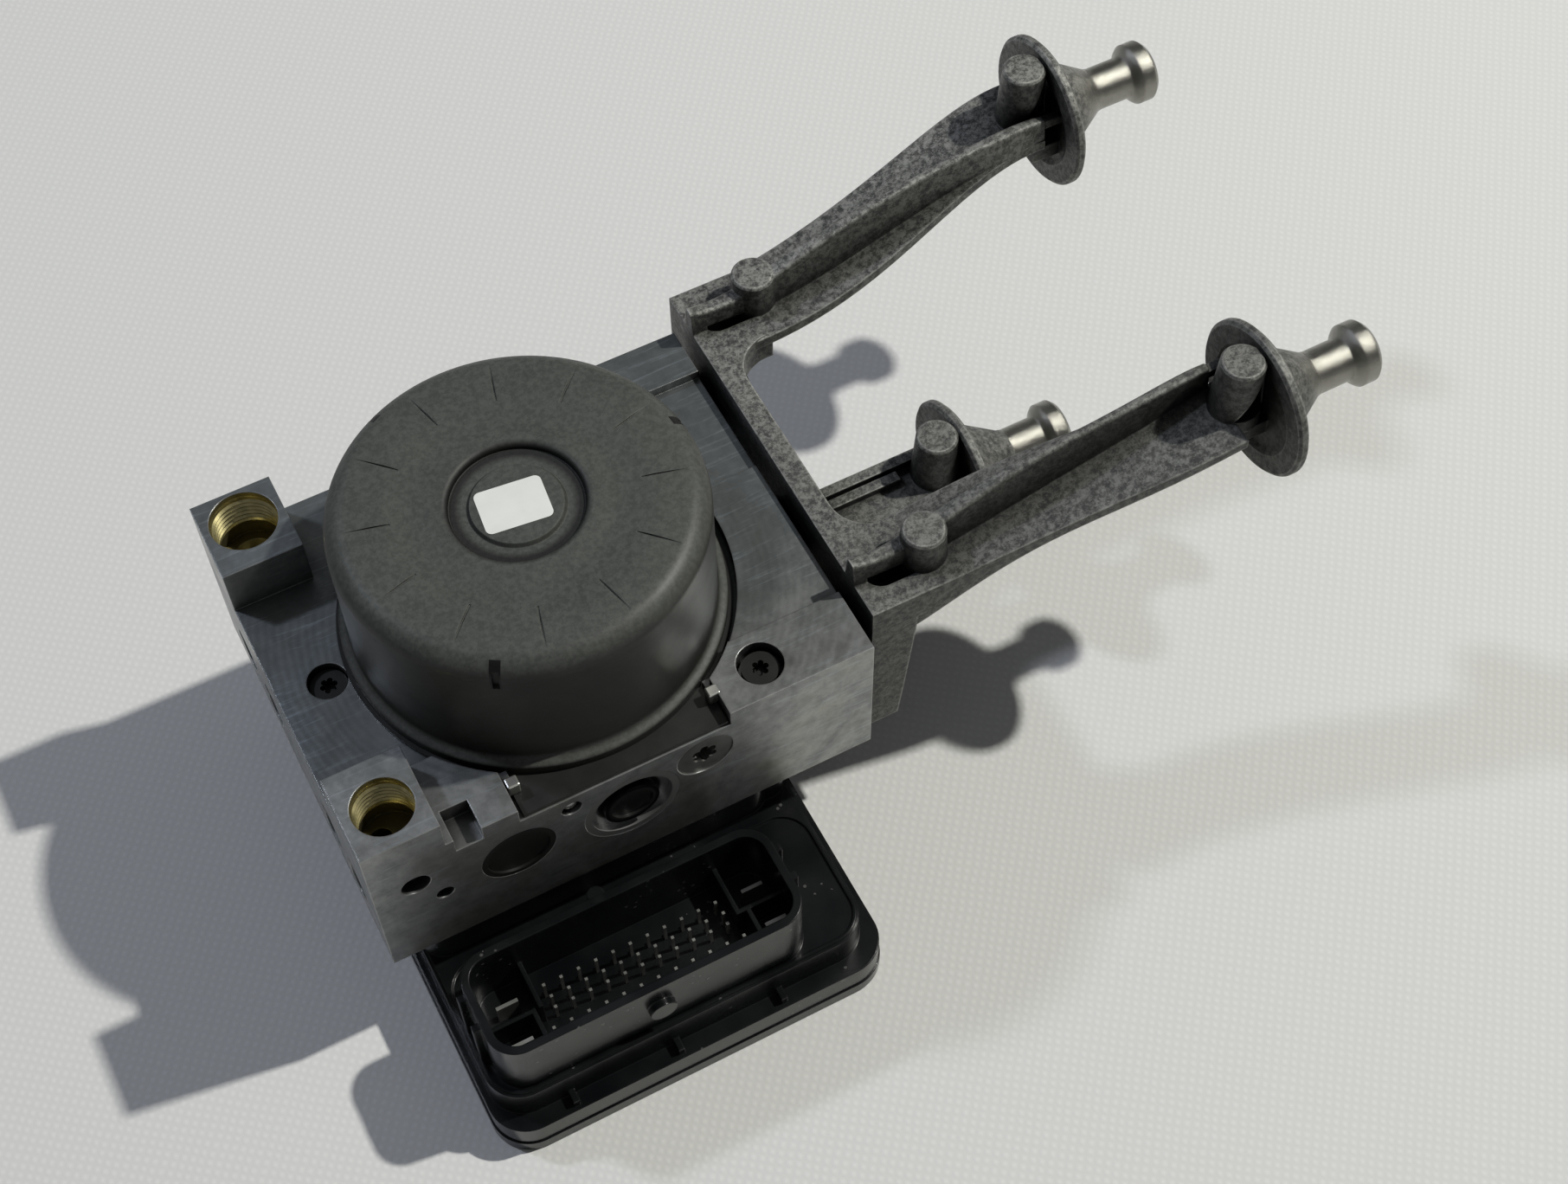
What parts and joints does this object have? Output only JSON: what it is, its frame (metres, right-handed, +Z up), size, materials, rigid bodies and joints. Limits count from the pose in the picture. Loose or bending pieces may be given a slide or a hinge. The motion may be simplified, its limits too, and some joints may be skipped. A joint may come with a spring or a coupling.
{
  "type": "abs brake module",
  "caption": "Anti-lock brake hydraulic unit: machined valve block with pump motor on top, control unit with plug socket beneath and a cast carrier bracket with pins.",
  "frame": {"origin": "where the pump motor axis meets the plane under the control unit cover", "axes": "+X from the valve block to the bracket pins, +Y to the back, +Z up along the motor axis"},
  "size_m": [0.2317, 0.1507, 0.104],
  "materials": {
    "cast_block": "machined",
    "motor_coat": "matt coat",
    "plate_steel": "dark plated",
    "steel": "ground",
    "spring_steel": "drawn wire",
    "copper": "bare winding",
    "magnet": "ferrite",
    "black_plastic": "glossy moulded",
    "grey_plastic": "moulded",
    "board": "laminate",
    "contact": "tin plated",
    "rubber": "moulded",
    "carbon": "pressed carbon",
    "bracket_cast": "die-cast, mottled",
    "paper": "matt film",
    "dark_cap": "dark coat"
  },
  "bodies": {
    "unit": {"valve_block": "cast_block", "motor_plate": "plate_steel", "motor_can": "motor_coat", "motor_magnets": "magnet", "upper_bearing": "steel", "lower_bearing": "steel", "pilot_bearing": "steel", "brush_card": "grey_plastic", "brushes": "carbon", "brush_springs": "spring_steel", "motor_terminal": "contact", "terminal_sleeve": "grey_plastic", "front_pump_barrel": "steel", "back_pump_barrel": "steel", "front_pump_spring": "spring_steel", "back_pump_spring": "spring_steel", "front_pump_plug": "steel", "back_pump_plug": "steel", "front_accumulator_cap": "dark_cap", "back_accumulator_cap": "dark_cap", "front_accumulator_spring": "spring_steel", "back_accumulator_spring": "spring_steel", "star_plug": "steel", "ball_plug": "steel", "valve_cartridges": "steel", "solenoid_coils": "copper", "coil_yokes": "plate_steel", "pressure_sensor": "steel", "ecu_housing": "black_plastic", "ecu_cover": "black_plastic", "housing_seal": "rubber", "circuit_board": "board", "connector_pins": "contact", "power_blades": "contact", "board_components": "black_plastic", "ecu_screws": "plate_steel", "bracket": "bracket_cast", "bracket_bolts": "plate_steel", "label": "paper"},
    "rotor": {"armature_core": "steel", "armature_winding": "copper", "commutator": "copper", "motor_shaft": "steel"},
    "pump_ring": {"eccentric_bearing": "steel"},
    "front_piston": {"front_pump_piston": "steel"},
    "back_piston": {"back_pump_piston": "steel"},
    "front_store": {"front_accumulator_piston": "grey_plastic"},
    "back_store": {"back_accumulator_piston": "grey_plastic"}
  },
  "joints": [
    {"name": "motor_spin", "type": "hinge", "parent": "unit", "child": "rotor", "pos_m": [0, 0, 0.0517], "axis": [0, 0, 1], "continuous": true},
    {"name": "ring_orbit", "type": "hinge", "parent": "rotor", "child": "pump_ring", "pos_m": [0.0012, 0, 0.0517], "axis": [0, 0, 1], "continuous": true},
    {"name": "front_piston_slide", "type": "slide", "parent": "unit", "child": "front_piston", "axis": [0, 1, 0], "range_m": [0, 0.0011], "deforming": ["front_pump_spring"]},
    {"name": "back_piston_slide", "type": "slide", "parent": "unit", "child": "back_piston", "axis": [0, -1, 0], "range_m": [0, 0.0011], "deforming": ["back_pump_spring"]},
    {"name": "front_store_slide", "type": "slide", "parent": "unit", "child": "front_store", "axis": [0, -1, 0], "range_m": [0, 0.006], "stiffness_N_per_m": 2000, "springref_m": -0.002, "deforming": ["front_accumulator_spring"]},
    {"name": "back_store_slide", "type": "slide", "parent": "unit", "child": "back_store", "axis": [0, 1, 0], "range_m": [0, 0.006], "stiffness_N_per_m": 2000, "springref_m": -0.002, "deforming": ["back_accumulator_spring"]}
  ],
  "couplings": [
    {"joint": "ring_orbit", "follows": "motor_spin", "ratio": -1}
  ]
}
